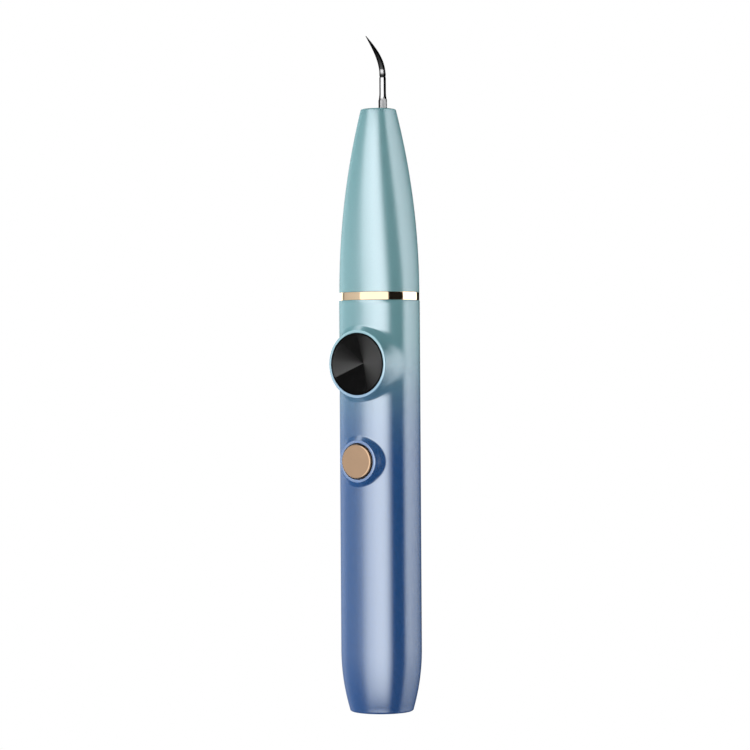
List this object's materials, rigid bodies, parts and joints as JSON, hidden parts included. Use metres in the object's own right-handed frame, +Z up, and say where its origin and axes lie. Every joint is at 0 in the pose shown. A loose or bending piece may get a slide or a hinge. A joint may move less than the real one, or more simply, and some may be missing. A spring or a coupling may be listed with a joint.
{
  "type": "ultrasonic scaler",
  "caption": "Cordless pen-shaped ultrasonic scaler with a tapered nose, round display, round button, accent ring and a curved steel tip that screws into its horn.",
  "frame": {"origin": "middle of the flat face at the tail that the handle stands on", "axes": "+Z runs up the handle's axis to the tip, the display and button face -Y, +X is to the right when the display is looked at"},
  "size_m": [0.025, 0.0263, 0.2084],
  "materials": {
    "gradient_paint": "pearl metallic lacquer on moulded plastic, blue at the tail turning to aqua at the display",
    "aqua_paint": "pearl metallic aqua lacquer",
    "gold_metal": "polished pale gold plating",
    "black_plastic": "moulded, fine texture",
    "black_rubber": "soft, matte",
    "black_glass": "black-backed, glossy",
    "dark_module": "black moulded components",
    "white_plastic": "natural moulded plastic",
    "brass_pins": "plated pins",
    "green_board": "fibreglass board with green lacquer",
    "board_parts": "small soldered components",
    "ferrite": "sintered ferrite",
    "copper_wire": "enamelled copper winding",
    "steel_screw": "plated steel",
    "cell_wrap": "steel can cell in shrink wrap, its mean density near that of aluminium",
    "nickel": "nickel plated steel",
    "black_foam": "closed-cell foam",
    "blue_plastic": "moulded in the blue of the tail",
    "blue_silicone": "soft silicone",
    "red_wire": "insulated wire",
    "black_wire": "insulated wire",
    "white_wire": "insulated wire",
    "steel_mass": "turned steel",
    "piezo_ceramic": "fired piezo ceramic with silvered faces",
    "copper_foil": "thin rolled copper",
    "amber_plastic": "polyimide tube",
    "titanium": "turned titanium, satin",
    "grey_silicone": "soft silicone",
    "clear_plastic": "clear polished plastic",
    "white_board": "white board with a light-emitting chip",
    "tip_steel": "polished stainless steel"
  },
  "bodies": {
    "handle": {"grip_shell": "gradient_paint", "accent_ring": "gold_metal", "nose_shell": "aqua_paint", "front_collar": "black_plastic", "collar_o_rings": "black_rubber", "display_window": "black_glass", "display_gasket": "black_rubber", "display_module": "dark_module", "display_holder": "white_plastic", "display_pins": "brass_pins", "button_boot": "black_rubber", "tact_switch": "dark_module", "main_pcb": "green_board", "controller_chip": "dark_module", "pcb_parts": "board_parts", "drive_transformer": "ferrite", "transformer_coil": "copper_wire", "pcb_screws": "steel_screw", "chassis": "white_plastic", "battery_cell": "cell_wrap", "battery_tabs": "nickel", "battery_pad": "black_foam", "charge_board": "green_board", "charge_parts": "dark_module", "usb_c_socket": "nickel", "tail_cap": "blue_plastic", "tail_o_ring": "black_rubber", "tail_screws": "steel_screw", "charge_leads": "red_wire", "battery_leads": "black_wire", "drive_leads": "red_wire", "light_leads": "white_wire", "stack_bolt": "steel_screw", "back_mass": "steel_mass", "piezo_rings": "piezo_ceramic", "electrode_discs": "copper_foil", "insulating_tube": "amber_plastic", "horn": "titanium", "horn_o_rings": "black_rubber", "transducer_holder": "black_plastic", "clamp_nut": "nickel", "mouth_insert": "black_plastic", "tip_seal": "grey_silicone", "light_lens": "clear_plastic", "light_board": "white_board"},
    "button": {"power_button": "gold_metal", "switch_plunger": "white_plastic"},
    "tip_ring": {"tip_o_ring": "black_rubber"},
    "tip": {"scaler_tip": "tip_steel"},
    "plug": {"port_plug": "blue_silicone"}
  },
  "joints": [
    {"name": "button_press", "type": "slide", "parent": "handle", "child": "button", "axis": [0, 1, 0], "range_m": [0, 0.0004], "stiffness_N_per_m": 400, "springref_m": -0.002},
    {"name": "tip_lift", "type": "slide", "parent": "handle", "child": "tip_ring", "axis": [0, 0, 1], "range_m": [0, 0.003]},
    {"name": "tip_turn", "type": "hinge", "parent": "tip_ring", "child": "tip", "pos_m": [0, 0.0026, 0.184], "axis": [0, 0, 1], "range_deg": [0, 2700]},
    {"name": "plug_pull", "type": "slide", "parent": "handle", "child": "plug", "axis": [0, 0, -1], "range_m": [0, 0.008]}
  ],
  "couplings": [
    {"joint": "tip_turn", "follows": "tip_lift", "rad_per_m": 15708}
  ]
}
